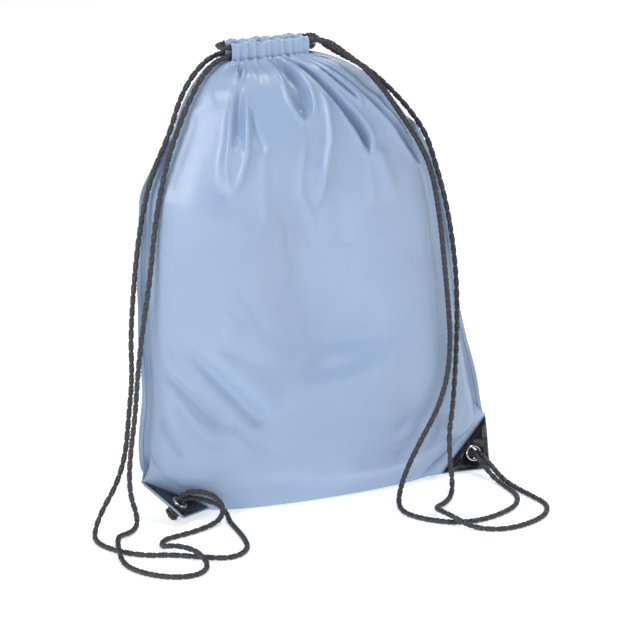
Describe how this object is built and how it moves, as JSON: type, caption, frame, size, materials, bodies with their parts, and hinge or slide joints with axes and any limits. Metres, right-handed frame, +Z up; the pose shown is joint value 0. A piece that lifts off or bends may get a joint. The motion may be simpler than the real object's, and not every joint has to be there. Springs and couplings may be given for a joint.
{
  "type": "drawstring bag",
  "caption": "Light blue two-panel cloth drawstring bag, drawn shut and standing, with black cords through its top hem to eyelets in black corner patches.",
  "frame": {"origin": "on the floor under the bag, midway between its two side edges and in the plane of its side seams", "axes": "+Z up, the bag's front faces -Y, +X to the right as seen from the front"},
  "size_m": [0.4049, 0.2244, 0.426],
  "materials": {
    "bag_cloth": "light blue coated nylon, soft sheen",
    "patch_leather": "glossy black imitation leather",
    "eyelet_nickel": "bright nickel",
    "cord_braid": "black braided polyester",
    "seam_thread": "blue polyester thread",
    "patch_thread": "black polyester thread"
  },
  "bodies": {
    "bag": {"front_panel": "bag_cloth", "back_panel": "bag_cloth", "front_channel": "bag_cloth", "back_channel": "bag_cloth", "front_channel_thread": "seam_thread", "back_channel_thread": "seam_thread", "left_seam_thread": "seam_thread", "right_seam_thread": "seam_thread", "left_front_patch": "patch_leather", "left_back_patch": "patch_leather", "right_front_patch": "patch_leather", "right_back_patch": "patch_leather", "left_patch_thread": "patch_thread", "right_patch_thread": "patch_thread", "left_eyelet": "eyelet_nickel", "right_eyelet": "eyelet_nickel", "left_eyelet_washer": "eyelet_nickel", "right_eyelet_washer": "eyelet_nickel", "left_front_strand": "cord_braid", "left_back_strand": "cord_braid", "right_front_strand": "cord_braid", "right_back_strand": "cord_braid", "left_knot": "cord_braid", "right_knot": "cord_braid"},
    "left_drawcord": {"left_drawcord_loop": "cord_braid"},
    "right_drawcord": {"right_drawcord_loop": "cord_braid"}
  },
  "joints": [
    {"name": "left_drawcord_slide", "type": "slide", "parent": "bag", "child": "left_drawcord", "axis": [1, 0, 0], "range_m": [0, 0.012]},
    {"name": "right_drawcord_slide", "type": "slide", "parent": "bag", "child": "right_drawcord", "axis": [-1, 0, 0], "range_m": [0, 0.012]}
  ]
}
